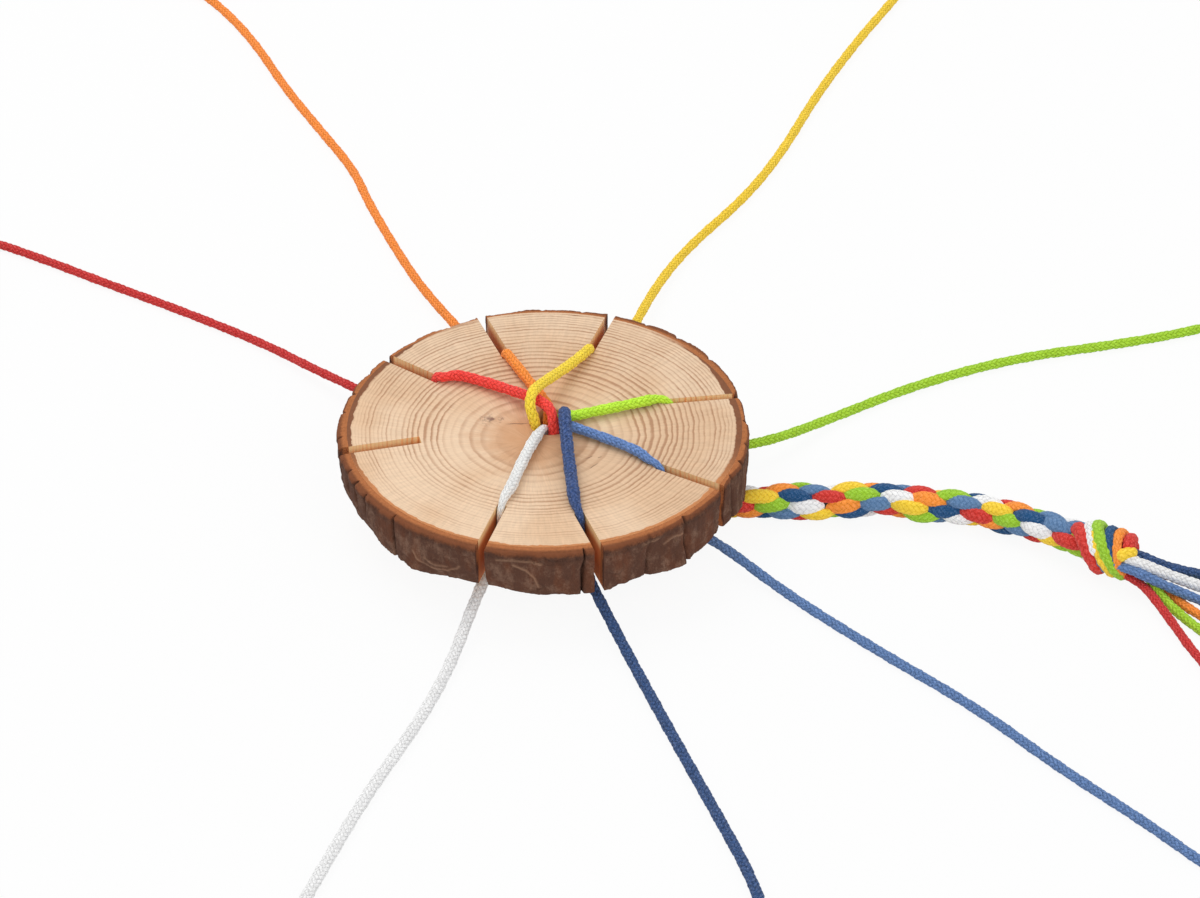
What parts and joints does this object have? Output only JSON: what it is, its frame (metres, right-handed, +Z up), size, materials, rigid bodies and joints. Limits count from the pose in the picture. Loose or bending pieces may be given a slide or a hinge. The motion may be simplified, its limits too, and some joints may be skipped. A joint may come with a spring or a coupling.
{
  "type": "kumihimo disk",
  "caption": "Round braiding disk sawn from a branch, bark left on, with saw slots in its rim and cords braided down through its hole.",
  "frame": {"origin": "centre of the wooden disk, half way through its thickness", "axes": "+Z up through the disk, square to its faces; +X to the right and +Y away from the user"},
  "size_m": [0.3126, 0.3794, 0.0248],
  "materials": {
    "end_grain": "sawn across the grain, unvarnished",
    "bark": "rough conifer bark",
    "red_cord": "matte twisted cotton cord",
    "orange_cord": "matte twisted cotton cord",
    "yellow_cord": "matte twisted cotton cord",
    "green_cord": "matte twisted cotton cord",
    "light_blue_cord": "matte twisted cotton cord",
    "dark_blue_cord": "matte twisted cotton cord",
    "white_cord": "matte twisted cotton cord",
    "braided_cord": "round braid of the seven cotton cords",
    "knotted_cord": "knot of the seven cotton cords"
  },
  "bodies": {
    "root": {"wood_disk": "end_grain", "bark_front_left": "bark", "bark_front": "bark", "bark_front_right": "bark", "bark_right": "bark", "bark_back_right": "bark", "bark_back": "bark", "bark_back_left": "bark", "bark_left": "bark", "red_rise": "red_cord", "red_run": "red_cord", "red_coil": "red_cord", "red_tail": "red_cord", "orange_rise": "orange_cord", "orange_run": "orange_cord", "orange_coil": "orange_cord", "orange_tail": "orange_cord", "yellow_rise": "yellow_cord", "yellow_run": "yellow_cord", "yellow_coil": "yellow_cord", "yellow_tail": "yellow_cord", "green_rise": "green_cord", "green_run": "green_cord", "green_coil": "green_cord", "green_tail": "green_cord", "light_blue_rise": "light_blue_cord", "light_blue_run": "light_blue_cord", "light_blue_coil": "light_blue_cord", "light_blue_tail": "light_blue_cord", "dark_blue_rise": "dark_blue_cord", "dark_blue_run": "dark_blue_cord", "dark_blue_coil": "dark_blue_cord", "dark_blue_tail": "dark_blue_cord", "white_rise": "white_cord", "white_run": "white_cord", "white_coil": "white_cord", "white_tail": "white_cord", "braid": "braided_cord", "knot": "knotted_cord"},
    "red_strand": {"red_lift": "red_cord"},
    "orange_strand": {"orange_lift": "orange_cord"},
    "yellow_strand": {"yellow_lift": "yellow_cord"},
    "green_strand": {"green_lift": "green_cord"},
    "light_blue_strand": {"light_blue_lift": "light_blue_cord"},
    "dark_blue_strand": {"dark_blue_lift": "dark_blue_cord"},
    "white_strand": {"white_lift": "white_cord"}
  },
  "joints": [
    {"name": "red_lifts_out", "type": "hinge", "parent": "root", "child": "red_strand", "pos_m": [-0.0056, 0.0084, 0.0073], "axis": [0.5906, 0.807, 0], "range_deg": [0, 45]},
    {"name": "orange_lifts_out", "type": "hinge", "parent": "root", "child": "orange_strand", "pos_m": [-0.002, 0.0106, 0.0064], "axis": [0.9354, 0.3535, 0], "range_deg": [0, 45]},
    {"name": "yellow_lifts_out", "type": "hinge", "parent": "root", "child": "yellow_strand", "pos_m": [0.0016, 0.013, 0.0086], "axis": [0.9472, -0.3206, 0], "range_deg": [0, 45]},
    {"name": "green_lifts_out", "type": "hinge", "parent": "root", "child": "green_strand", "pos_m": [0.0088, 0.0041, 0.0064], "axis": [0.1392, -0.9903, 0], "range_deg": [0, 45]},
    {"name": "light_blue_lifts_out", "type": "hinge", "parent": "root", "child": "light_blue_strand", "pos_m": [0.0078, -0.0026, 0.0064], "axis": [-0.503, -0.8643, 0], "range_deg": [0, 45]},
    {"name": "dark_blue_lifts_out", "type": "hinge", "parent": "root", "child": "dark_blue_strand", "pos_m": [0.005, -0.0082, 0.0072], "axis": [-0.9444, -0.3289, 0], "range_deg": [0, 45]},
    {"name": "white_lifts_out", "type": "hinge", "parent": "root", "child": "white_strand", "pos_m": [-0.0022, -0.0048, 0.0064], "axis": [-0.9573, 0.289, 0], "range_deg": [0, 45]}
  ]
}
